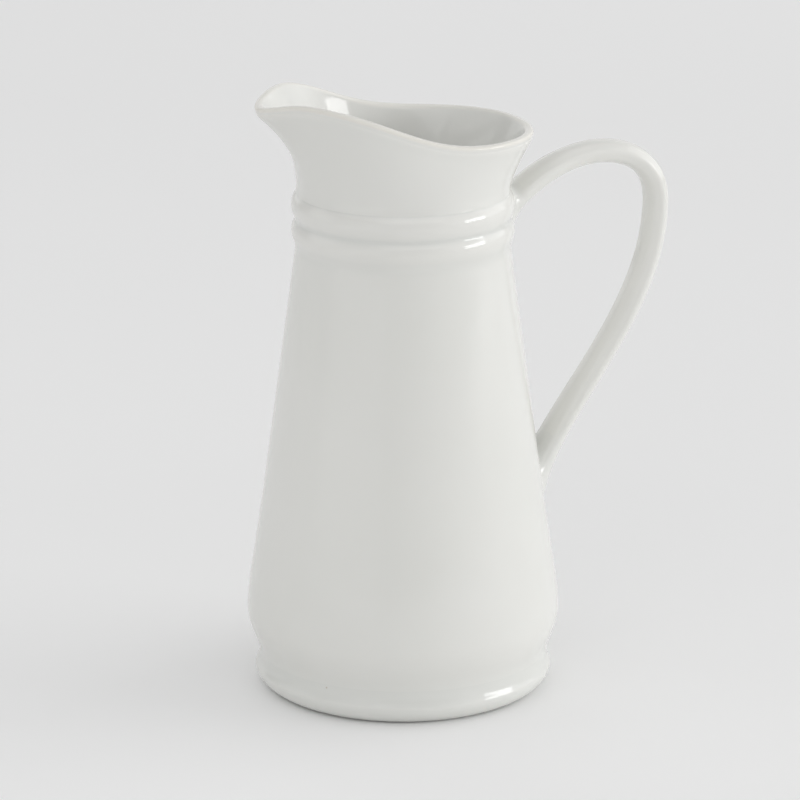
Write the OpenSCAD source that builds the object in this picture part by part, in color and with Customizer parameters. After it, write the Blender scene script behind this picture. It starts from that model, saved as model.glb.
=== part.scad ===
// Ceramic table pitcher: a tall tapered body on a rounded foot ring, two raised rings
// round its shoulder, a flared neck drawn out into a spout, and a looped strap handle.
// Millimetres. +Z is up, the handle is towards +X and the spout towards -X. The origin
// is the centre of the ring that the pitcher rests on.

/* [Foot] */
// Height of the foot ring
foot_height = 17.2; // [15:0.1:20]
// Outer radius of the face that it rests on
rest_radius = 62; // [59:0.1:64]
// Largest radius of the rounded foot
foot_radius = 70; // [69.4:0.1:72]
// Radius at the groove between the foot and the body
groove_radius = 68.3; // [66:0.1:69]
// Inner radius of the foot ring
recess_radius = 54; // [48:0.5:55]
// Depth of the hollow under the floor
recess_depth = 6; // [3:0.5:8]

/* [Body] */
// Radius at the belly, the widest part
belly_radius = 73.7; // [72:0.1:76]
// Height of the belly
belly_height = 38; // [34:0.5:42]
// Radius where the straight taper starts
taper_radius = 65.2; // [64:0.1:66]
// Height where the straight taper starts
taper_height = 100; // [90:1:110]
// Radius at the shoulder, below the raised rings
shoulder_radius = 49.8; // [49.5:0.1:51]
// Height of the shoulder
shoulder_height = 214.6; // [205:0.1:225]
// Thickness of the wall
wall = 5; // [4:0.1:5.5]
// Thickness of the floor
floor_thickness = 7; // [5:0.5:9]
// Radius of the inside corner between the floor and the wall
inner_corner = 22; // [16:0.5:24]

/* [Raised rings] */
// Height of each ring
bead_height = 12.2; // [10:0.1:14]
// Radius of the wall behind the rings
seat_radius = 49.2; // [48.5:0.1:49.4]
// Radius in the valleys beside each ring
valley_radius = 49.9; // [49.8:0.1:50.4]
// Largest radius of each ring
bead_radius = 51.9; // [51.2:0.1:53]

/* [Neck and spout] */
// Half the length of the mouth, to the middle of the lip
mouth_half_length = 58.8; // [56:0.2:62]
// Half the width of the mouth, to the middle of the lip
mouth_half_width = 47.2; // [45:0.2:56]
// How far the spout reaches out past the oval of the mouth
spout_reach = 11.4; // [6:0.2:14]
// Half angle of the spout, in degrees
spout_spread = 14.5; // [12:0.5:20]
// Height of the middle of the lip at the handle
rim_height = 265.3; // [262:0.1:270]
// Rise of the lip from the handle to the spout
spout_rise = 21; // [14:0.2:24]
// Dip of the lip at the tip of the spout
tip_dip = 3.8; // [0:0.2:5]
// Radius of the rolled lip
lip_radius = 2.6; // [2.2:0.1:2.8]
// How sharply the neck flares at the sides and the back
flare = 1.4; // [1.2:0.1:2.2]
// How sharply the neck flares under the spout
spout_flare = 2.2; // [1.8:0.1:2.6]
// How much thicker the throat is on the spout's side
throat_swell = 2.4; // [0:0.1:3]

/* [Handle] */
// Width of the strap, across the pitcher
strap_width = 15; // [13:0.5:20]
// Thickness of the strap
strap_thickness = 10.8; // [9:0.2:12]
// Distance from the axis to the middle of the strap where it is furthest out
handle_reach = 129.7; // [120:0.1:136]
// Height of the middle of the strap where it is furthest out
handle_reach_height = 222; // [215:0.5:226]
// Height of the middle of the upper root
upper_root_height = 225.5; // [224:0.5:228]
// Height of the middle of the lower root
lower_root_height = 91; // [88:0.5:96]
// Width of the strap at its roots
root_width = 19; // [16:0.5:22]
// Radius of the slip fillet round each root
slip_radius = 7; // [4:0.5:9]

/* [Hidden] */

glaze = [0.93, 0.93, 0.91];

taper = (taper_radius - shoulder_radius) / (shoulder_height - taper_height);
seam_height = shoulder_height + bead_height;
neck_foot_height = seam_height + bead_height;
floor_top = recess_depth + floor_thickness;
rest_edge = 1;
foot_middle = 0.52 * foot_height;
lip_tuck = 55;
wall_offset = 0.75 * lip_radius;
slip_film = 0.05;
round_parts = 120;
curve_parts = 14;

neck_sides = 120;
neck_levels = 10;
lip_parts = 7;

strap_sides = 36;
strap_steps = 28;
slip_steps = 5;
cap_rings = 4;
strap_squareness = 2.15;
mouth_squareness = 2.25;
crown_angle = 44.5;
fall_angle = 66;
upper_blend = 0.2;
lower_blend = 0.25;
slip_reach = [0.04, 0.09];

function smooth(t) = let (c = min(1, max(0, t))) c * c * (3 - 2 * c);
function cubic(p, t) =
    pow(1 - t, 3) * p[0] + 3 * pow(1 - t, 2) * t * p[1] + 3 * (1 - t) * t * t * p[2] + pow(t, 3) * p[3];
function curve(p) = [for (i = [1 : curve_parts]) cubic(p, i / curve_parts)];
function arc(centre, radii, from, to) =
    [for (i = [0 : curve_parts])
        let (a = from + (to - from) * i / curve_parts)
        centre + [radii[0] * cos(a), radii[1] * sin(a)]];
function inward(points, distance) = [for (p = points) p - [distance, 0]];
function reversed(points) = [for (i = [len(points) - 1 : -1 : 0]) points[i]];

// Outline of the foot, from the table out to its widest point and in to the groove.
foot_low = [[rest_radius, 0], [rest_radius + 3.6, 1.1],
            [foot_radius, foot_middle - 4.6], [foot_radius, foot_middle]];
foot_high = [[foot_radius, foot_middle], [foot_radius, foot_middle + 1.2],
             [groove_radius - 0.3, foot_middle + 2.4], [groove_radius, foot_height]];

// Outline of the body's wall, from the groove up over the belly to the taper.
belly_low = [[groove_radius, foot_height], [groove_radius + 0.6, foot_height + 6],
             [belly_radius, belly_height - 9.5], [belly_radius, belly_height]];
belly_high = [[belly_radius, belly_height], [belly_radius, belly_height + 10],
              [taper_radius + 30 * taper, taper_height - 30], [taper_radius, taper_height]];

// Radius of the outside at a height, where the handle and its slip meet it.
bead_rise = bead_radius - valley_radius;
bead_curve = (pow(bead_height / 2, 2) + pow(bead_rise, 2)) / (2 * bead_rise);
function bead_outside(z, middle) =
    bead_radius - bead_curve + sqrt(pow(bead_curve, 2) - pow(z - middle, 2));
function neck_outside(z) =
    let (u = (z - neck_foot_height) / (rim_height - neck_foot_height))
    seat_radius + (mouth_half_length + wall_offset - seat_radius) * pow(u, flare);
function outside(z) =
    z < shoulder_height ? shoulder_radius + taper * (shoulder_height - z)
    : z < seam_height ? bead_outside(z, shoulder_height + bead_height / 2)
    : z < neck_foot_height ? bead_outside(z, seam_height + bead_height / 2)
    : max(valley_radius, neck_outside(z));
function on_wall(y, z) = [sqrt(pow(outside(z) + slip_film, 2) - y * y), y, z];

// The rim, by the angle from the spout.
function rim_radius(a) =
    pow(pow(abs(cos(a)) / mouth_half_length, mouth_squareness)
        + pow(abs(sin(a)) / mouth_half_width, mouth_squareness), -1 / mouth_squareness)
    + spout_reach * exp(-pow(a / spout_spread, 2));
function rim_middle(a) =
    let (t = pow((1 + cos(a)) / 2, 3.4))
    rim_height + spout_rise * (1 - pow(1 - t, 2)) - tip_dip * exp(-pow(a / 12, 2));
function neck_flare(a) = flare + (spout_flare - flare) * exp(-pow(a / 24, 2));

// How much of the throat's swell there is, by the angle from the spout: all of it on the
// spout's side, fading to none at the handle.
function swell_share(a) = smooth(1 + cos(a));

// One upright section of the neck, as distance from the axis and height. The lip rolls out
// over the outer face and runs straight on into the inner one, which leans outwards.
function neck_face(foot, head, power) =
    [for (i = [0 : neck_levels])
        let (u = i / neck_levels)
        [foot[0] + (head[0] - foot[0]) * pow(u, power), foot[1] + (head[1] - foot[1]) * u]];
function neck_section(a) =
    let (rim = rim_radius(a), middle = rim_middle(a), power = neck_flare(a), share = swell_share(a),
         throat = seat_radius - wall - throat_swell * share,
         inner_power = power + (spout_flare - power) * share,
         lean = atan(inner_power * (rim - lip_radius - throat) / (middle - neck_foot_height)),
         lip = [for (i = [0 : lip_parts + 1])
                   let (b = -lip_tuck + (180 - lean + lip_tuck) * i / (lip_parts + 1))
                   [rim + lip_radius * cos(b), middle + lip_radius * sin(b)]])
    concat(
        [[seat_radius, seam_height]],
        neck_face([seat_radius, neck_foot_height], lip[0], power),
        [for (i = [1 : lip_parts]) lip[i]],
        reversed(neck_face([throat, neck_foot_height], lip[lip_parts + 1], inner_power)),
        [[seat_radius - wall, seam_height]]);

// The handle's middle line, out from the upper root and down to the lower root.
upper_start = [outside(upper_root_height) - 2, upper_root_height];
lower_end = [outside(lower_root_height), lower_root_height];
furthest = [handle_reach, handle_reach_height];
crown = [upper_start, upper_start + 48.5 * [cos(crown_angle), sin(crown_angle)],
         furthest + [0, 32], furthest];
fall = [furthest, furthest - [0, 51.5],
        lower_end + 48.7 * [cos(fall_angle), sin(fall_angle)], lower_end];
function handle_point(t) = t < 0.5 ? cubic(crown, 2 * t) : cubic(fall, 2 * t - 1);
function unit(v) = v / norm(v);
function handle_along(t) = unit(handle_point(min(1, t + 0.004)) - handle_point(max(0, t - 0.004)));
function squared(x, power) = sign(x) * pow(abs(x), power);

// A point of the strap's skin, at t along the handle and angle a round it. Towards each
// root the section turns until it is parallel to the wall, widens, and at the root
// it lies on the wall. The skin can be grown outwards, which gives the slip's shape.
function skin_point(t, a, grow = 0) =
    let (upper = t < 0.5,
         free = upper ? smooth(t / upper_blend) : smooth((1 - t) / lower_blend),
         c = handle_point(t),
         d = handle_along(t),
         up_wall = upper ? [0, 1] : unit([taper, -1]),
         n = unit((1 - free) * up_wall + free * [-d[1], d[0]]),
         power = 2 / (2 + (strap_squareness - 2) * free),
         half_height = strap_thickness / 2 / max(0.26, abs(n[0] * d[1] - n[1] * d[0])) + grow,
         half_width = (root_width + (strap_width - root_width) * free) / 2 + grow,
         along = half_height * squared(cos(a), power),
         across = half_width * squared(sin(a), power),
         root = (upper ? upper_start : lower_end) + up_wall * along,
         to_wall = on_wall(across, root[1])[0] - root[0])
    [c[0] + n[0] * along + (1 - free) * to_wall, across, c[1] + n[1] * along];
function skin_ring(t, grow = 0) =
    [for (k = [0 : strap_sides - 1]) skin_point(t, 360 * k / strap_sides, grow)];
function cap_ring(t, scale) =
    let (ring = skin_ring(t), middle = handle_point(t)[1])
    [for (p = ring) on_wall(scale * p[1], middle + scale * (p[2] - middle))];

// Stations along the handle: the slip's share at each end, and even steps between.
stations = concat([for (i = [0 : slip_steps]) slip_reach[0] * i / slip_steps],
                  [for (i = [1 : strap_steps - 1])
                      slip_reach[0] + (1 - slip_reach[0] - slip_reach[1]) * i / strap_steps],
                  [for (i = [slip_steps : -1 : 0]) 1 - slip_reach[1] * i / slip_steps]);

// Joins rings of points into a skin. A loop of rings closes on itself; a row of rings is
// closed by a point at each end.
function band(sides, r, s) =
    [for (k = [0 : sides - 1]) let (m = (k + 1) % sides)
        each [[r + k, s + k, s + m], [r + k, s + m, r + m]]];
function fan(sides, r, tip, turn) =
    [for (k = [0 : sides - 1]) let (m = (k + 1) % sides)
        turn ? [r + m, r + k, tip] : [r + k, r + m, tip]];
module ring_loop(rings) {
    sides = len(rings[0]);
    count = len(rings);
    polyhedron([for (r = rings) each r],
               [for (i = [0 : count - 1]) each band(sides, i * sides, ((i + 1) % count) * sides)]);
}
module ring_row(rings, first, last) {
    sides = len(rings[0]);
    count = len(rings);
    polyhedron(concat([for (r = rings) each r], [first, last]),
               concat([for (i = [0 : count - 2]) each band(sides, i * sides, (i + 1) * sides)],
                      fan(sides, 0, count * sides, false),
                      fan(sides, (count - 1) * sides, count * sides + 1, true)));
}

module foot_ring() {
    color(glaze)
        rotate_extrude($fn = round_parts)
            polygon(concat(
                [[recess_radius + rest_edge, 0], [rest_radius, 0]],
                curve(foot_low), curve(foot_high),
                [[recess_radius, recess_depth], [recess_radius, rest_edge]]));
}

module body() {
    outer_wall = concat([[groove_radius, foot_height]], curve(belly_low), curve(belly_high),
                        [[shoulder_radius, shoulder_height]]);
    inner_wall = inward(concat(curve(belly_high), [[shoulder_radius, shoulder_height]]), wall);
    color(glaze)
        rotate_extrude($fn = round_parts)
            polygon(concat(
                [[0, recess_depth], [recess_radius, recess_depth]],
                outer_wall,
                [[seat_radius, shoulder_height], [seat_radius, seam_height],
                 [seat_radius - wall, seam_height]],
                reversed(inner_wall),
                arc([belly_radius - wall - inner_corner, floor_top + inner_corner],
                    [inner_corner, inner_corner], 0, -90),
                [[0, floor_top]]));
}

module bead(bottom) {
    half = asin(bead_height / 2 / bead_curve);
    color(glaze)
        rotate_extrude($fn = round_parts)
            polygon(concat(
                [[seat_radius, bottom]],
                arc([bead_radius - bead_curve, bottom + bead_height / 2],
                    [bead_curve, bead_curve], -half, half),
                [[seat_radius, bottom + bead_height]]));
}

module lower_bead() {
    bead(shoulder_height);
}

module upper_bead() {
    bead(seam_height);
}

module neck() {
    turns = [for (k = [0 : neck_sides - 1]) 360 * k / neck_sides - 180];
    sections = [for (a = turns) neck_section(a)];
    color(glaze)
        ring_loop([for (k = [0 : neck_sides - 1])
            [for (p = sections[k]) [-p[0] * cos(turns[k]), p[0] * sin(turns[k]), p[1]]]]);
}

module handle() {
    caps = [for (i = [1 : cap_rings - 1]) i / cap_rings];
    color(glaze)
        ring_row(concat([for (s = caps) cap_ring(1, s)],
                        [for (t = reversed(stations)) skin_ring(t)],
                        [for (s = reversed(caps)) cap_ring(0, s)]),
                 on_wall(0, lower_root_height), on_wall(0, upper_root_height));
}

// The slip hugs the handle's own skin and thins out to nothing along it.
module slip(end) {
    function station(i) = abs(end - slip_reach[end] * i / slip_steps);
    function swell(i) = slip_radius * (1 - sqrt(1 - pow(1 - i / slip_steps, 2)));
    rings = concat([for (i = [0 : slip_steps]) skin_ring(station(i))],
                   [for (i = [slip_steps - 1 : -1 : 0]) skin_ring(station(i), swell(i))]);
    color(glaze)
        ring_loop(end == 0 ? rings : reversed(rings));
}

module upper_handle_slip() {
    slip(0);
}

module lower_handle_slip() {
    slip(1);
}

foot_ring();
body();
lower_bead();
upper_bead();
neck();
handle();
upper_handle_slip();
lower_handle_slip();
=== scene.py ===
import math

import bpy
import numpy as np
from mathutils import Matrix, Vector


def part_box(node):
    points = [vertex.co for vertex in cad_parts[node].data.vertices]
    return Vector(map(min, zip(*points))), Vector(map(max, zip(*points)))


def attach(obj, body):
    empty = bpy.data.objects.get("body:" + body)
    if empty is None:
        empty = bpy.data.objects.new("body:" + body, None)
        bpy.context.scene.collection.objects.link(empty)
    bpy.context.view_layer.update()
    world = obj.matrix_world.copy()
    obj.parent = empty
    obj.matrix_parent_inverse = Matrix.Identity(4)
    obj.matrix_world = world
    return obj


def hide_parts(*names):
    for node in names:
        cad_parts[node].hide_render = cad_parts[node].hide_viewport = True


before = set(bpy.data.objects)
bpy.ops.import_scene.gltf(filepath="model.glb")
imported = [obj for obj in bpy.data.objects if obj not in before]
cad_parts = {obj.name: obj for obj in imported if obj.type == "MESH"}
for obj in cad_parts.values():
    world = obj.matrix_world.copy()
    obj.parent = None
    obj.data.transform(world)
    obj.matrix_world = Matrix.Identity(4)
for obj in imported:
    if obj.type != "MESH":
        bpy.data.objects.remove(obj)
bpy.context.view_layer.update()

MM = 0.001

# ---------------------------------------------------------------- sizes, in mm, read from the frame


def low_corner(node):
    return np.array(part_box(node)[0]) / MM


def high_corner(node):
    return np.array(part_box(node)[1]) / MM


foot_radius, _, foot_top = high_corner("foot_ring")
belly_radius = high_corner("body")[0]
shoulder_height = low_corner("lower_bead")[2]
bead_radius, _, seam_height = high_corner("lower_bead")
neck_foot = high_corner("upper_bead")[2]

# The rest are the pitcher's own design values, which a box can't give. These are the foot's and the body's.
groove_radius = 68.3
rest_radius = 62.0
recess_radius = 54.0
recess_depth = 6.0
belly_height = 38.0
taper_radius, taper_height = 65.2, 100.0
shoulder_radius = 49.8
valley_radius = 49.9
seat_radius = 49.2
wall = 5.0
floor_top = 13.0
inner_corner = 22.0
foot_middle = 0.52 * foot_top
taper = (taper_radius - shoulder_radius) / (shoulder_height - taper_height)

# The mouth, the spout and the lip. The spreads and the tuck are angles in degrees.
mouth_half_length, mouth_half_width, mouth_squareness = 58.8, 47.2, 2.25
spout_reach, spout_spread = 11.4, 14.5
rim_height, spout_rise, rise_lateness = 265.3, 21.0, 3.4
tip_dip, tip_spread = 3.8, 12.0
lip_radius, lip_tuck = 2.6, 55.0
side_flare, spout_flare, flare_spread = 1.4, 2.2, 24.0
throat_swell = 2.4

# The handle and its slips. Blends and the slips' reach are shares of the handle's length.
strap_width, strap_thickness, strap_squareness = 15.0, 10.8, 2.15
reach, reach_height = 129.7, 222.0
upper_root, lower_root = 225.5, 91.0
root_width = 19.0
crown_angle, fall_angle = 44.5, 66.0
upper_blend, lower_blend = 0.2, 0.25
slip_radius, slip_reach = 7.0, (0.04, 0.09)

TURNED_SIDES = 224
OUTSIDE_STEP = 0.1
NECK_STEP = 0.15

# ---------------------------------------------------------------- curves and profiles


def smooth(t):
    t = np.clip(t, 0.0, 1.0)
    return t * t * (3 - 2 * t)


def cos(degrees):
    return np.cos(np.radians(degrees))


def sin(degrees):
    return np.sin(np.radians(degrees))


def bezier(p, t):
    return (1 - t) ** 3 * p[0] + 3 * (1 - t) ** 2 * t * p[1] + 3 * (1 - t) * t * t * p[2] + t**3 * p[3]


def cubic(points, count):
    return bezier(np.array(points, float), np.linspace(0, 1, count)[:, None])


def arc(centre, radius, start, end, count):
    a = np.linspace(start, end, count)
    return np.stack([centre[0] + radius * cos(a), centre[1] + radius * sin(a)], 1)


def evenly(line, step):
    """The same line with its points a step apart."""
    gap = np.linalg.norm(np.diff(line, axis=0), axis=1)
    line = line[np.concatenate([[True], gap > 1e-6])]
    along = np.concatenate([[0], np.cumsum(np.linalg.norm(np.diff(line, axis=0), axis=1))])
    s = np.linspace(0, along[-1], max(3, int(round(along[-1] / step)) + 1))
    return np.stack([np.interp(s, along, line[:, k]) for k in range(2)], 1)


def softened(line, spread):
    """The line with its creases rounded, as glaze rounds them. The spread is in points. The ends stay."""
    span = int(4 * spread) + 1
    kernel = np.exp(-0.5 * (np.arange(-span, span + 1) / spread) ** 2)
    kernel /= kernel.sum()
    ends = [2 * line[0] - line[span:0:-1], line, 2 * line[-1] - line[-2:-span - 2:-1]]
    padded = np.concatenate(ends)
    return np.stack([np.convolve(padded[:, k], kernel, "valid") for k in range(2)], 1)


def turning(line):
    """How sharply the line bends at each point, in radians a millimetre, positive where it bulges."""
    d = np.gradient(line, axis=0)
    length = np.maximum(np.linalg.norm(d, axis=1), 1e-9)
    angle = np.unwrap(np.arctan2(d[:, 1], d[:, 0]))
    return np.gradient(angle) / length


def thinned(line):
    """The points to keep on the line, so that each step between them is short and turns little."""
    longest, sharpest = 3.0, math.radians(4)
    gap = np.concatenate([[0], np.linalg.norm(np.diff(line, axis=0), axis=1)])
    cost = np.cumsum(gap * (1 / longest + np.abs(turning(line)) / sharpest))
    chosen = set(np.searchsorted(cost, np.arange(0, cost[-1], 1.0)).tolist())
    return sorted(chosen | {0, len(line) - 1})


# ---------------------------------------------------------------- meshes


def make_piece(name, nodes, points, faces, edge, sharp_rings=(), sides=0):
    """A piece from points in mm. The edge values run from -1 in a groove to 1 on an edge: above 0 they say
    how thin its glaze is over an edge, and below 0 how much painted shade darkens it in a groove. The points
    come in rings of so many sides. The mesh is sharp along the rings given."""
    mesh = bpy.data.meshes.new(name)
    mesh.from_pydata((np.asarray(points) * MM).tolist(), [], faces)
    mesh.validate()
    mesh.polygons.foreach_set("use_smooth", [True] * len(mesh.polygons))
    # The attribute carries the glaze's thinning over edges and the painted shade in grooves to the material.
    values = mesh.attributes.new("glaze_edge_and_shade", "FLOAT", "POINT")
    values.data.foreach_set("value", np.asarray(edge, np.float32))
    if sharp_rings:
        ends = np.zeros(len(mesh.edges) * 2, int)
        mesh.edges.foreach_get("vertices", ends)
        rings = ends.reshape(-1, 2) // sides
        along_ring = (rings[:, 0] == rings[:, 1]) & np.isin(rings[:, 0], sharp_rings)
        marks = mesh.attributes.new("sharp_edge", "BOOLEAN", "EDGE")
        marks.data.foreach_set("value", along_ring)
    piece = bpy.data.objects.new(name, mesh)
    bpy.context.scene.collection.objects.link(piece)
    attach(piece, "root")
    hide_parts(*nodes)
    return piece


def loop_faces(count, sides, closed):
    """The faces between rings of points, and from the last ring to the first where the mesh is closed."""
    faces = []
    for i in range(count if closed else count - 1):
        a, b = i * sides, ((i + 1) % count) * sides
        faces += [(a + k, b + k, b + (k + 1) % sides, a + (k + 1) % sides) for k in range(sides)]
    return faces


def revolve(name, nodes, profile, edge, sharp, sides=TURNED_SIDES):
    """A turned piece. The profile runs round its section. One that starts and ends on the axis closes with a
    point at each end, and any other closes on itself."""
    profile = np.asarray(profile, float)
    poles = profile[0][0] < 1e-6
    rings = profile[1:-1] if poles else profile
    values = np.asarray(edge, float)[1:-1] if poles else np.asarray(edge, float)
    a = np.arange(sides) * 360 / sides
    points = np.stack([rings[:, :1] * cos(a), rings[:, :1] * sin(a),
                       np.repeat(rings[:, 1:], sides, 1)], 2).reshape(-1, 3)
    faces = loop_faces(len(rings), sides, not poles)
    values = np.repeat(values, sides)
    if poles:
        last = len(rings) * sides
        points = np.vstack([points, [0, 0, profile[0][1]], [0, 0, profile[-1][1]]])
        faces += [(k, (k + 1) % sides, last) for k in range(sides)]
        end = last - sides
        faces += [(end + (k + 1) % sides, end + k, last + 1) for k in range(sides)]
        values = np.concatenate([values, [0, 0]])
        sharp = [i - 1 for i in sharp]
    return make_piece(name, nodes, points, [f[::-1] for f in faces], values, sharp, sides)


# The outside, from the table up to the neck, is one line, so that every piece meets the next without a step.
bead_rise, bead_half = bead_radius - valley_radius, (seam_height - shoulder_height) / 2
bead_curve = (bead_half**2 + bead_rise**2) / (2 * bead_rise)
bead_angle = math.degrees(math.asin(bead_half / bead_curve))


def wall_points(count):
    """The body's wall, from the belly up over the taper to the shoulder."""
    upper_belly = [(belly_radius, belly_height), (belly_radius, belly_height + 10),
                   (taper_radius + 30 * taper, taper_height - 30), (taper_radius, taper_height)]
    return np.vstack([cubic(upper_belly, count), [[shoulder_radius, shoulder_height]]])


# The neck's first few mm are those of its side by the handle, up towards the point where the lip starts.
lip_start_radius, lip_start_height = 60.3, 263.2
neck_height = np.linspace(neck_foot, neck_foot + 8, 40)
neck_rise = (neck_height - neck_foot) / (lip_start_height - neck_foot)
outside = np.concatenate([
    cubic([(rest_radius, 0), (rest_radius + 3.6, 1.1),
           (foot_radius, foot_middle - 4.6), (foot_radius, foot_middle)], 60),
    cubic([(foot_radius, foot_middle), (foot_radius, foot_middle + 1.2),
           (groove_radius - 0.3, foot_middle + 2.4), (groove_radius, foot_top)], 40),
    cubic([(groove_radius, foot_top), (groove_radius + 0.6, foot_top + 6),
           (belly_radius, belly_height - 9.5), (belly_radius, belly_height)], 60),
    wall_points(60),
    arc((bead_radius - bead_curve, shoulder_height + bead_half), bead_curve, -bead_angle, bead_angle, 40),
    arc((bead_radius - bead_curve, seam_height + bead_half), bead_curve, -bead_angle, bead_angle, 40),
    np.stack([seat_radius + (lip_start_radius - seat_radius) * neck_rise**side_flare, neck_height], 1),
])
outside = evenly(outside, OUTSIDE_STEP)

# Glaze rounds the creases beside the rings more than the others, and the one under the rings most of all.
near_rings = smooth((outside[:, 1:] - shoulder_height + 6) / 4)
near_base = smooth(1 - np.abs(outside[:, 1:] - shoulder_height) / 7)
outside = (softened(outside, 5.5) * (1 - near_rings) + softened(outside, 13) * near_rings * (1 - near_base)
           + softened(outside, 24) * near_rings * near_base)
outside[:, 1] = np.maximum(outside[:, 1], 0)
bend = softened(np.stack([turning(outside)] * 2, 1), 4)[:, 0]
# Above 0 the glaze runs thin and warm over a bulge; below 0 the same values paint a darker, cooler shade
# into the grooves.
glaze_thinness_and_shade = np.clip((bend - 0.07) * 3.0, -1, 1)


def at_height(z):
    return int(np.argmin(np.abs(outside[:, 1] - z)))


def outer_part(low, high):
    """The outside between two heights: its points, and how thin the glaze is on each."""
    i, j = at_height(low) if low > 0 else 0, at_height(high)
    line = outside[i : j + 1].copy()
    line[0, 1] = low
    line[-1, 1] = high
    kept = thinned(line)
    return line[kept], glaze_thinness_and_shade[i : j + 1][kept]


def closed_piece(name, nodes, low, high, back, painted_shade=0.0):
    """A turned piece with its outside between two heights and the given line behind it. The painted shade,
    up to 1, says how much darker and cooler its glaze is painted than elsewhere: thicker glaze in part,
    shade in part."""
    line, thin = outer_part(low, high)
    # Painted shade: the whole outside is pushed towards the darker, cooler groove tone.
    thin = thin * (1 - painted_shade) - painted_shade
    back = np.asarray(back, float)
    profile = np.vstack([line, back])
    edge = np.concatenate([thin, np.zeros(len(back))])
    corners = [0, len(line) - 1] + list(range(len(line), len(profile)))
    return revolve(name, nodes, profile, edge, corners)


def wall_radius(z):
    return float(np.interp(z, outside[:, 1], outside[:, 0]))


foot_back = np.vstack([
    [[groove_radius - 2, foot_top - 1.6], [recess_radius, recess_depth - 0.3]],
    arc((recess_radius + 1.4, 1.4), 1.4, 180, 270, 8),
    [[recess_radius + 3.2, 0.0]],
])
# The foot ring's glaze is painted darker and cooler all over: thicker glaze at the foot in part, and in part
# a painted shade on the band.
foot = closed_piece("foot_ring_glazed", ["foot_ring"], 0.0, foot_top, foot_back, 0.7)
lower_ring = closed_piece("lower_shoulder_ring", ["lower_bead"], shoulder_height, seam_height,
                          [[seat_radius, seam_height], [seat_radius, shoulder_height]])
upper_ring = closed_piece("upper_shoulder_ring", ["upper_bead"], seam_height, neck_foot,
                          [[seat_radius, neck_foot], [seat_radius, seam_height]])

body_outer, body_thin_and_shade = outer_part(foot_top, shoulder_height)
inside = np.vstack([
    [[seat_radius - wall, seam_height]],
    evenly(wall_points(30) - [wall, 0], 4.0)[::-1],
    arc((belly_radius - wall - inner_corner, floor_top + inner_corner), inner_corner, 0, -90, 24),
    [[30, floor_top], [12, floor_top], [0, floor_top]],
])
underside = [[0, recess_depth], [20, recess_depth], [40, recess_depth], [recess_radius, recess_depth]]
seat = [[seat_radius, shoulder_height], [seat_radius, seam_height]]
body_edge = np.concatenate([np.zeros(len(underside)), body_thin_and_shade, np.zeros(len(seat) + len(inside))])
top = len(underside) + len(body_outer)
body_corners = [len(underside) - 1, len(underside), top - 1, top, top + 1, top + 2]
body_profile = np.vstack([underside, body_outer, seat, inside])
body = revolve("body_glazed", ["body"], body_profile, body_edge, body_corners)

# ---------------------------------------------------------------- neck and spout


def flared(foot, end, power):
    """The neck's wall from its foot up to the lip, which leans out more and more."""
    u = np.linspace(0, 1, 160)[:, None]
    return np.hstack([foot[0] + (end[0] - foot[0]) * u**power, foot[1] + (end[1] - foot[1]) * u])


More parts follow.
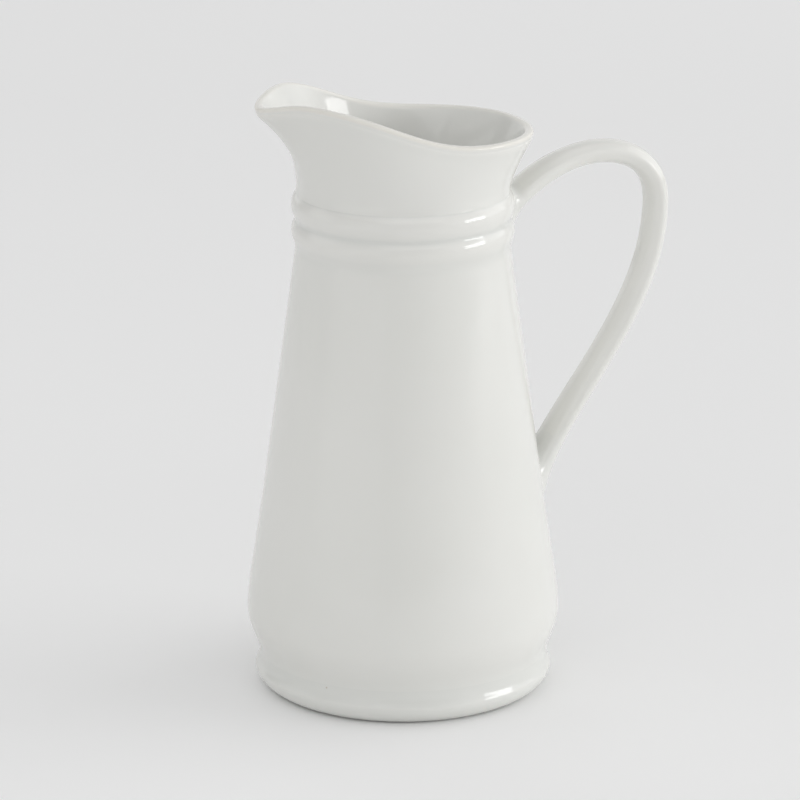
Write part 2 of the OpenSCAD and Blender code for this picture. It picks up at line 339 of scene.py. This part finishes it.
def neck_piece(sides=288, section_points=240):
    """The neck, one section after another round it. The angle is 0 at the spout and 180 at the handle."""
    a = np.arange(sides) * 360 / sides - 180
    rim = (np.abs(cos(a) / mouth_half_length) ** mouth_squareness
           + np.abs(sin(a) / mouth_half_width) ** mouth_squareness) ** (-1 / mouth_squareness)
    rim = rim + spout_reach * np.exp(-((a / spout_spread) ** 2))
    rise = ((1 + cos(a)) / 2) ** rise_lateness
    middle = rim_height + spout_rise * (1 - (1 - rise) ** 2) - tip_dip * np.exp(-((a / tip_spread) ** 2))
    power = side_flare + (spout_flare - side_flare) * np.exp(-((a / flare_spread) ** 2))
    swell = smooth(1 + cos(a))
    throat = seat_radius - wall - throat_swell * swell
    inner_power = power + (spout_flare - power) * swell
    lean = np.degrees(np.arctan(inner_power * (rim - lip_radius - throat) / (middle - neck_foot)))
    # The upper ring runs on into the neck with a fillet that fades over a few mm.
    base = at_height(neck_foot)
    step = outside[base + 1] - outside[base - 1]
    fillet = outside[base, 0] - seat_radius
    fade = fillet / max(0.05, -step[0] / step[1])
    sections, thin_and_shade = [], []
    for k in range(sides):
        lip = arc((rim[k], middle[k]), lip_radius, -lip_tuck, 180 - lean[k], 60)
        outer = flared((seat_radius, neck_foot), lip[0], power[k])
        outer[:, 0] += fillet * np.exp(-(outer[:, 1] - neck_foot) / fade)
        inner = flared((throat[k], neck_foot), lip[-1], inner_power[k])
        line = evenly(np.concatenate([outer, lip[1:-1], inner[::-1]]), NECK_STEP)
        along = np.arange(len(line)) * NECK_STEP
        past_lip = along - np.linalg.norm(np.diff(outer, axis=0), axis=1).sum()
        # The glaze blends the lip into the outside of the neck, and leaves its top and inside as they are.
        tight = smooth((past_lip - 1.8) / 3.2)[:, None]
        line = softened(line, 17) * (1 - tight) + softened(line, 2.5) * tight
        # Points crowd at the lip and at the neck's foot.
        crowding = 1 + 5 * np.exp(-(((past_lip - 4) / 7) ** 2)) + 5 * np.exp(-((along / 3) ** 2))
        share = np.cumsum(crowding)
        share = (share - share[0]) / (share[-1] - share[0])
        kept = np.interp(np.linspace(0, 1, section_points), share, along)
        line = np.stack([np.interp(kept, along, line[:, i]) for i in range(2)], 1)
        sections.append(line)
        # Above 0 the glaze runs thin and warm on the lip; below 0, down to -0.25, a faint painted shade
        # darkens the crease under it.
        thin_and_shade.append(np.clip((turning(line) - 0.12) * 2.2, -0.25, 1))
    back = [(seat_radius - wall, seam_height), (seat_radius, seam_height), (seat_radius, neck_foot)]
    behind = np.repeat(np.array(back)[:, None], sides, 1)
    grid = np.concatenate([np.stack(sections, 1), behind])
    points = np.stack([-grid[..., 0] * cos(a), grid[..., 0] * sin(a), grid[..., 1]], 2).reshape(-1, 3)
    edge = np.concatenate([np.stack(thin_and_shade, 1), np.zeros((len(back), sides))]).reshape(-1)
    faces = loop_faces(len(grid), sides, True)
    corners = [0, section_points, section_points + 1, section_points + 2]
    return make_piece("neck_and_spout", ["neck"], points, faces, edge, corners, sides)


neck = neck_piece()

# ---------------------------------------------------------------- handle and its slips


def unit(v):
    return v / np.linalg.norm(v)


upper_start = np.array([wall_radius(upper_root) - 2, upper_root])
lower_end = np.array([wall_radius(lower_root), lower_root])
furthest = np.array([reach, reach_height])
leaving = upper_start + 48.5 * np.array([cos(crown_angle), sin(crown_angle)])
arriving = lower_end + 48.7 * np.array([cos(fall_angle), sin(fall_angle)])
crown = [upper_start, leaving, furthest + [0, 32], furthest]
fall = [furthest, furthest - [0, 51.5], arriving, lower_end]


def handle_point(t):
    return bezier(crown, 2 * t) if t < 0.5 else bezier(fall, 2 * t - 1)


def squared(x, power):
    return np.sign(x) * np.abs(x) ** power


def handle_ring(t, a, grow=0.0, sink=0.0):
    """The strap's skin at t along the handle, from 0 to 1, at the angles a round it. Near a root the section
    turns and widens until it lies on the wall. It can be grown, for the slip, and sunk into the wall."""
    nearby, least_slant = 0.004, 0.26
    is_upper = t < 0.5
    free = float(smooth(t / upper_blend if is_upper else (1 - t) / lower_blend))
    middle = handle_point(t)
    ahead = unit(handle_point(min(1, t + nearby)) - handle_point(max(0, t - nearby)))
    up_wall = np.array([0.0, 1.0]) if is_upper else unit(np.array([taper, -1.0]))
    out = unit((1 - free) * up_wall + free * np.array([-ahead[1], ahead[0]]))
    power = 2 / (2 + (strap_squareness - 2) * free)
    slant = max(least_slant, abs(out[0] * ahead[1] - out[1] * ahead[0]))
    half_height = strap_thickness / 2 / slant + grow
    half_width = (root_width + (strap_width - root_width) * free) / 2 + grow
    along = half_height * squared(cos(a), power)
    across = half_width * squared(sin(a), power)
    root = (upper_start if is_upper else lower_end) + up_wall * along[:, None]
    wall_here = np.interp(root[:, 1], outside[:, 1], outside[:, 0]) - sink
    to_wall = np.sqrt(np.maximum(wall_here**2 - across**2, 1)) - root[:, 0]
    from_axis = middle[0] + out[0] * along + (1 - free) * to_wall
    return np.stack([from_axis, across, middle[1] + out[1] * along], 1)


def handle_piece(sides=96):
    a = np.arange(sides) * 360 / sides
    # The strap was pulled by hand, which leaves faint ridges along it.
    ridges = 0.12 * cos(5 * a + 40) + 0.09 * cos(8 * a - 70)
    end_sink, sink = 1.5, 0.3
    rings = [handle_ring(0.0, a, 0, end_sink)]
    rings += [handle_ring(t, a, ridges * math.sin(math.pi * t) ** 0.5, sink)
              for t in np.linspace(0.004, 0.996, 220)]
    rings += [handle_ring(1.0, a, 0, end_sink)]
    centres = [rings[0].mean(0), rings[-1].mean(0)]
    first = [centres[0] + (rings[0] - centres[0]) * share for share in (0.3, 0.65)]
    last = [centres[1] + (rings[-1] - centres[1]) * share for share in (0.65, 0.3)]
    rings = first + rings + last
    points = np.vstack(rings + centres)
    faces = loop_faces(len(rings), sides, False)
    count = len(rings) * sides
    faces += [(k, (k + 1) % sides, count) for k in range(sides)]
    faces += [(count - sides + (k + 1) % sides, count - sides + k, count + 1) for k in range(sides)]
    return make_piece("strap_handle", ["handle"], points, faces, np.full(len(points), 0.12))


def slip_piece(name, node, end, sides=128, steps=26):
    """The fillet round the root at t = end, 0 or 1: a skin that curves from the wall onto the strap, and a
    back that is sunk into both."""
    a = np.arange(sides) * 360 / sides
    outer, inner = [], []
    for i in range(steps + 1):
        angle = 90 * (1 - i / steps)
        t = abs(end - slip_reach[end] * (1 - sin(angle)))
        outer.append(handle_ring(t, a, slip_radius * (1 - cos(angle)), 0.0))
        inner.append(handle_ring(t, a, -0.6, 0.8))
    tuck = handle_ring(end, a, slip_radius + 0.1, 0.4)
    ending = handle_ring(abs(end - slip_reach[end] - 0.006), a, -0.25, 0.0)
    rings = [tuck] + outer + [ending] + inner[::-1]
    faces = loop_faces(len(rings), sides, True)
    if end == 1:
        faces = [f[::-1] for f in faces]
    count = len(outer)
    # Painted shade: the skin's glaze is painted darker and cooler towards the middle of the fillet, where it
    # curves in between wall and strap.
    painted_shade = -0.6 * np.sin(np.pi * np.arange(count) / (count - 1))
    edge = np.repeat(np.concatenate([[0], painted_shade, np.zeros(count + 1)]), sides)
    return make_piece(name, [node], np.vstack(rings), faces, edge, (0, 1, count + 1), sides)


handle = handle_piece()
upper_slip = slip_piece("upper_root_slip", "upper_handle_slip", 0)
lower_slip = slip_piece("lower_root_slip", "lower_handle_slip", 1)

# ---------------------------------------------------------------- materials


def new_material(name):
    material = bpy.data.materials.new(name)
    material.use_nodes = True
    material.node_tree.nodes.clear()
    return material, material.node_tree


def add(tree, kind, **values):
    """A new node, with the given inputs or settings."""
    node = tree.nodes.new(kind)
    for key, value in values.items():
        if key in node.inputs:
            node.inputs[key].default_value = value
        else:
            setattr(node, key, value)
    return node


def colour_mix(tree, factor, a, b):
    """Colour a where the factor is 0 and b where it is 1. Each is a colour or another node's output."""
    node = add(tree, "ShaderNodeMix", data_type="RGBA")
    tree.links.new(factor, node.inputs[0])
    for socket, value in ((node.inputs[6], a), (node.inputs[7], b)):
        if hasattr(value, "links"):
            tree.links.new(value, socket)
        else:
            socket.default_value = (*value, 1)
    return node.outputs[2]


def scaled(tree, value, low, high, to_low=0.0, to_high=1.0):
    """The value, moved from the range low to high to another range, and kept inside it."""
    node = add(tree, "ShaderNodeMapRange", clamp=True)
    tree.links.new(value, node.inputs["Value"])
    for key, v in (("From Min", low), ("From Max", high), ("To Min", to_low), ("To Max", to_high)):
        node.inputs[key].default_value = v
    return node.outputs["Result"]


def glaze_material():
    """White tableware glaze over a pale body: glassy, with a faint waviness, a warmer tone where it runs
    thin over an edge, a darker, cooler one in grooves and creases, which is pooled glaze and painted shade,
    and a few fine pin-holes."""
    material, tree = new_material("white_glaze")
    link = tree.links.new
    where = add(tree, "ShaderNodeTexCoord").outputs["Object"]
    cloud = add(tree, "ShaderNodeTexNoise", Scale=14.0, Detail=2.0, Roughness=0.5)
    wave = add(tree, "ShaderNodeTexNoise", Scale=95.0, Detail=1.0, Roughness=0.4)
    grain = add(tree, "ShaderNodeTexNoise", Scale=1500.0, Detail=1.0, Roughness=0.5)
    speck = add(tree, "ShaderNodeTexVoronoi", Scale=55.0, Randomness=1.0)
    for node in (cloud, wave, grain, speck):
        link(where, node.inputs["Vector"])
    edge = add(tree, "ShaderNodeAttribute", attribute_name="glaze_edge_and_shade").outputs["Fac"]
    thin = scaled(tree, edge, 0.05, 1.0, 0.0, 0.55)
    # Painted crease shade: where the edge values fall below 0 the tone goes darker and cooler.
    painted_crease_shade = scaled(tree, edge, -0.05, -1.0, 0.0, 0.5)
    chosen = add(tree, "ShaderNodeSeparateColor")
    link(speck.outputs["Color"], chosen.inputs[0])
    rare = scaled(tree, chosen.outputs[0], 0.965, 0.975)
    dot = scaled(tree, speck.outputs["Distance"], 0.034, 0.018)
    pin = add(tree, "ShaderNodeMath", operation="MULTIPLY")
    link(rare, pin.inputs[0])
    link(dot, pin.inputs[1])
    cloudy = scaled(tree, cloud.outputs["Fac"], 0.3, 0.7)
    tone = colour_mix(tree, cloudy, (0.768, 0.769, 0.736), (0.792, 0.79, 0.762))
    tone = colour_mix(tree, thin, tone, (0.80, 0.765, 0.695))
    # The painted crease shade.
    tone = colour_mix(tree, painted_crease_shade, tone, (0.67, 0.685, 0.66))
    tone = colour_mix(tree, pin.outputs[0], tone, (0.55, 0.50, 0.42))
    gloss = scaled(tree, grain.outputs["Fac"], 0.3, 0.7, 0.07, 0.12)
    height = add(tree, "ShaderNodeMath", operation="MULTIPLY_ADD")
    link(pin.outputs[0], height.inputs[0])
    height.inputs[1].default_value = -0.35
    link(wave.outputs["Fac"], height.inputs[2])
    bump = add(tree, "ShaderNodeBump", Strength=0.16, Distance=0.0006)
    link(height.outputs[0], bump.inputs["Height"])
    shader = add(tree, "ShaderNodeBsdfPrincipled", IOR=1.5)
    link(tone, shader.inputs["Base Color"])
    link(gloss, shader.inputs["Roughness"])
    link(bump.outputs[0], shader.inputs["Normal"])
    link(shader.outputs[0], add(tree, "ShaderNodeOutputMaterial").inputs[0])
    return material


def bisque_material():
    """The bare fired clay of the ring that the pitcher rests on."""
    material, tree = new_material("bare_clay")
    link = tree.links.new
    where = add(tree, "ShaderNodeTexCoord").outputs["Object"]
    grain = add(tree, "ShaderNodeTexNoise", Scale=900.0, Detail=4.0, Roughness=0.65)
    speck = add(tree, "ShaderNodeTexVoronoi", Scale=700.0)
    for node in (grain, speck):
        link(where, node.inputs["Vector"])
    grainy = scaled(tree, grain.outputs["Fac"], 0.3, 0.7)
    tone = colour_mix(tree, grainy, (0.62, 0.56, 0.47), (0.74, 0.69, 0.61))
    tone = colour_mix(tree, scaled(tree, speck.outputs["Distance"], 0.16, 0.1), tone, (0.48, 0.41, 0.33))
    bump = add(tree, "ShaderNodeBump", Strength=0.5, Distance=0.0003)
    link(grain.outputs["Fac"], bump.inputs["Height"])
    shader = add(tree, "ShaderNodeBsdfPrincipled", Roughness=0.85, IOR=1.45)
    link(tone, shader.inputs["Base Color"])
    link(bump.outputs[0], shader.inputs["Normal"])
    link(shader.outputs[0], add(tree, "ShaderNodeOutputMaterial").inputs[0])
    return material


def floor_material():
    material, tree = new_material("pale_floor")
    link = tree.links.new
    where = add(tree, "ShaderNodeTexCoord").outputs["Object"]
    cloud = add(tree, "ShaderNodeTexNoise", Scale=1.6, Detail=2.0)
    link(where, cloud.inputs["Vector"])
    cloudy = scaled(tree, cloud.outputs["Fac"], 0.3, 0.7)
    tone = colour_mix(tree, cloudy, (0.92, 0.92, 0.92), (0.93, 0.93, 0.93))
    shader = add(tree, "ShaderNodeBsdfPrincipled", Roughness=0.7, IOR=1.4)
    link(tone, shader.inputs["Base Color"])
    link(shader.outputs[0], add(tree, "ShaderNodeOutputMaterial").inputs[0])
    return material


glaze = glaze_material()
for piece in (foot, body, lower_ring, upper_ring, neck, handle, upper_slip, lower_slip):
    piece.data.materials.append(glaze)

# Only the face that the pitcher rests on is wiped clean of glaze.
foot.data.materials.append(bisque_material())
for face in foot.data.polygons:
    if max(foot.data.vertices[v].co.z for v in face.vertices) < 0.1 * MM:
        face.material_index = 1

# ---------------------------------------------------------------- floor, lights and camera

# From here on, lengths are in metres and angles in degrees.
CAMERA_TURN, CAMERA_ELEVATION, CAMERA_DISTANCE = -22.6, 16.72, 2.254
light_target = Vector((0, 0, 0.13))


def direction(azimuth, elevation):
    """The direction from the pitcher at an azimuth and elevation. Azimuth 0 is the camera's side, and it
    grows towards the camera's right."""
    a, e = math.radians(CAMERA_TURN) + math.radians(azimuth), math.radians(elevation)
    return Vector((math.sin(a) * math.cos(e), -math.cos(a) * math.cos(e), math.sin(e)))


FLOOR_RADIUS, FLOOR_CORNERS = 14, 96
floor_mesh = bpy.data.meshes.new("floor")
turns = [math.tau * k / FLOOR_CORNERS for k in range(FLOOR_CORNERS)]
floor_edge = [(FLOOR_RADIUS * math.cos(turn), FLOOR_RADIUS * math.sin(turn), 0.0) for turn in turns]
floor_mesh.from_pydata(floor_edge, [], [tuple(range(FLOOR_CORNERS))])
floor = bpy.data.objects.new("floor", floor_mesh)
bpy.context.scene.collection.objects.link(floor)
floor_mesh.materials.append(floor_material())


def panel(name, left, right, bottom, top, distance, radiance, spread=180):
    """A flat softbox that faces the pitcher and spans the azimuths from left to right and the elevations
    from bottom to top. One with a spread under 180 has a grid on its front, which keeps its light off the
    floor at its own foot, and its energy is set so that its middle is as bright as without the grid."""
    light = bpy.data.lights.new(name, "AREA")
    light.shape = "RECTANGLE"
    light.size = 2 * distance * math.tan(math.radians((right - left) / 2))
    light.size_y = 2 * distance * math.tan(math.radians((top - bottom) / 2))
    light.energy = radiance * math.pi * light.size * light.size_y
    if spread < 180:
        half_spread = math.radians(spread / 2)
        light.spread = 2 * half_spread
        light.energy *= 1 - half_spread / math.tan(half_spread)
    lamp = bpy.data.objects.new(name, light)
    lamp.location = light_target + distance * direction((left + right) / 2, (bottom + top) / 2)
    lamp.rotation_mode = "QUATERNION"
    lamp.rotation_quaternion = (light_target - lamp.location).to_track_quat("-Z", "Y")
    lamp.visible_camera = False
    bpy.context.scene.collection.objects.link(lamp)


panel("key", 66, 92, 3, 15, 2.8, 6.1)
panel("right_wall", 92, 128, 2, 45, 2.8, 0.72)
panel("front_fill", -20, 40, 24, 50, 2.4, 0.92)
panel("left_card", -74, -16.5, -9, 24, 0.78, 0.53, spread=100)
panel("far_left_panel", -110, -75, 0, 30, 1.9, 0.74, spread=110)
panel("left_fill", -110, -40, 35, 65, 2.0, 0.53)
panel("back_fill", 130, 225, 0, 45, 2.4, 0.46)
panel("top_fill", 0, 40, 70, 110, 2.0, 0.4)

# The room is grey, with a grey that changes from the camera's left to its right.
world = bpy.data.worlds.new("studio")
bpy.context.scene.world = world
world.use_nodes = True
tree = world.node_tree
tree.nodes.clear()
right_side = Vector((math.cos(math.radians(CAMERA_TURN)), math.sin(math.radians(CAMERA_TURN)), 0))
rightward = add(tree, "ShaderNodeVectorMath", operation="DOT_PRODUCT")
tree.links.new(add(tree, "ShaderNodeTexCoord").outputs["Generated"], rightward.inputs[0])
rightward.inputs[1].default_value = right_side
ramp = add(tree, "ShaderNodeValToRGB")
ramp.color_ramp.interpolation = "B_SPLINE"
stops = ramp.color_ramp.elements
for spot in (0.25, 0.5, 0.75):
    stops.new(spot)
for stop, value in zip(stops, (0.10, 0.57, 0.50, 0.04, 1.76)):
    stop.color = (value, value, value, 1)
tree.links.new(scaled(tree, rightward.outputs["Value"], -1.0, 1.0), ramp.inputs[0])
background = add(tree, "ShaderNodeBackground", Strength=1.0)
tree.links.new(ramp.outputs[0], background.inputs["Color"])
tree.links.new(background.outputs[0], add(tree, "ShaderNodeOutputWorld").inputs[0])

bpy.context.scene.view_settings.view_transform = "Standard"
bpy.context.scene.view_settings.look = "None"

camera_data = bpy.data.cameras.new("camera")
camera_data.lens = 216.3
camera_data.sensor_width = 36
camera_data.clip_start, camera_data.clip_end = 0.1, 40
camera = bpy.data.objects.new("camera", camera_data)
bpy.context.scene.collection.objects.link(camera)
bpy.context.scene.camera = camera
camera_target = Vector((0, 0, 0.13763)) - 0.00137 * right_side
camera.location = camera_target + CAMERA_DISTANCE * direction(0, CAMERA_ELEVATION)
camera.rotation_mode = "QUATERNION"
camera.rotation_quaternion = (camera_target - camera.location).to_track_quat("-Z", "Y")
